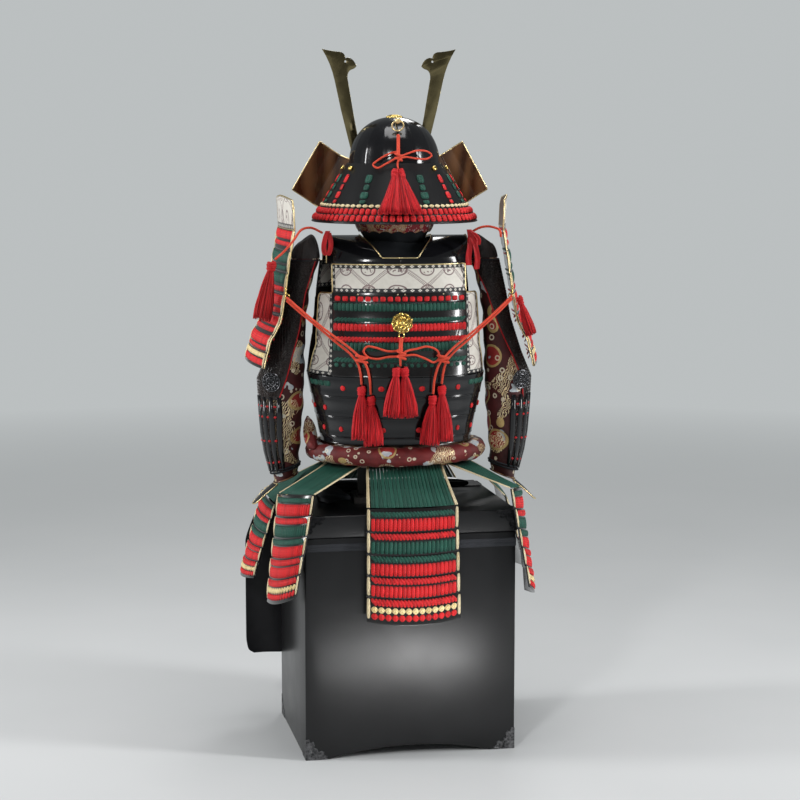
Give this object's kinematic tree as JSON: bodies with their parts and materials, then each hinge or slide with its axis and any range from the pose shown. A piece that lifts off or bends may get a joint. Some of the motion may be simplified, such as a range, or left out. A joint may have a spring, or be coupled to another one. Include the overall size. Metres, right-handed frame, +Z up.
{
  "type": "samurai armour on a storage chest and display stand",
  "caption": "Laced armour with horned helmet, shoulder guards, sleeves, tassets and apron, hung on a limbless stand over its lacquered storage chest.",
  "frame": {"origin": "middle of the surface that the chest stands on", "axes": "+Z up, -Y the way the wearer faces, +X to the wearer's left"},
  "size_m": [0.6955, 0.492, 1.598],
  "materials": {
    "chest_lacquer": "satin black lacquer with a faint pebble",
    "black_lacquer": "polished black lacquer",
    "laced_lames": "black lacquered lames laced in red and green silk",
    "green_lace": "dark green silk lacing",
    "printed_leather": "white printed deerskin",
    "brown_leather": "brown figured leather",
    "gilt_metal": "polished gilt",
    "aged_brass": "aged brass",
    "brocade": "maroon brocade with gold",
    "black_cloth": "matt black cotton",
    "stand_wood": "black painted wood",
    "orange_cord": "twisted orange-red silk",
    "red_ribbon": "flat red silk",
    "red_tassel": "red silk threads"
  },
  "bodies": {
    "root": {"chest_body": "chest_lacquer", "chest_lid": "chest_lacquer", "chest_band": "black_cloth", "stand_frame": "stand_wood", "head_form": "black_cloth", "cuirass_lower": "black_lacquer", "cuirass_back": "laced_lames", "cuirass_front": "laced_lames", "back_panel": "printed_leather", "wing_L": "printed_leather", "wing_R": "printed_leather", "shoulder_L": "black_lacquer", "shoulder_R": "black_lacquer", "back_boss": "gilt_metal", "belt_roll": "brocade", "belt_end": "brocade", "waist_laces": "green_lace", "helmet_bowl": "black_lacquer", "neck_guard": "black_lacquer", "helmet_brow": "gilt_metal", "helmet_ring": "gilt_metal", "apron_L": "black_cloth", "apron_R": "black_cloth", "apron_waist": "black_cloth", "tasset_back": "laced_lames", "bow_cord": "orange_cord", "helmet_cord": "orange_cord", "ribbon_L": "red_ribbon", "ribbon_R": "red_ribbon", "tassel_helmet": "red_tassel", "tassel_bow": "red_tassel", "tassels_L": "red_tassel", "tassels_R": "red_tassel", "tassel_sode_L": "red_tassel", "tassel_sode_R": "red_tassel", "tasset_rear_L": "laced_lames", "tasset_side_L": "laced_lames", "tasset_front_L": "laced_lames", "sode_plate_L": "printed_leather", "sode_L": "laced_lames", "sleeve_L": "brocade", "hand_guard_L": "black_lacquer", "fukigaeshi_L": "brown_leather", "horn_L": "aged_brass", "sode_cord_1_L": "orange_cord", "sode_cord_2_L": "orange_cord", "sode_tie_L": "orange_cord", "tasset_rear_R": "laced_lames", "tasset_side_R": "laced_lames", "tasset_front_R": "laced_lames", "sode_plate_R": "printed_leather", "sode_R": "laced_lames", "sleeve_R": "brocade", "hand_guard_R": "black_lacquer", "fukigaeshi_R": "brown_leather", "horn_R": "aged_brass", "sode_cord_1_R": "orange_cord", "sode_cord_2_R": "orange_cord", "sode_tie_R": "orange_cord"}
  },
  "joints": []
}
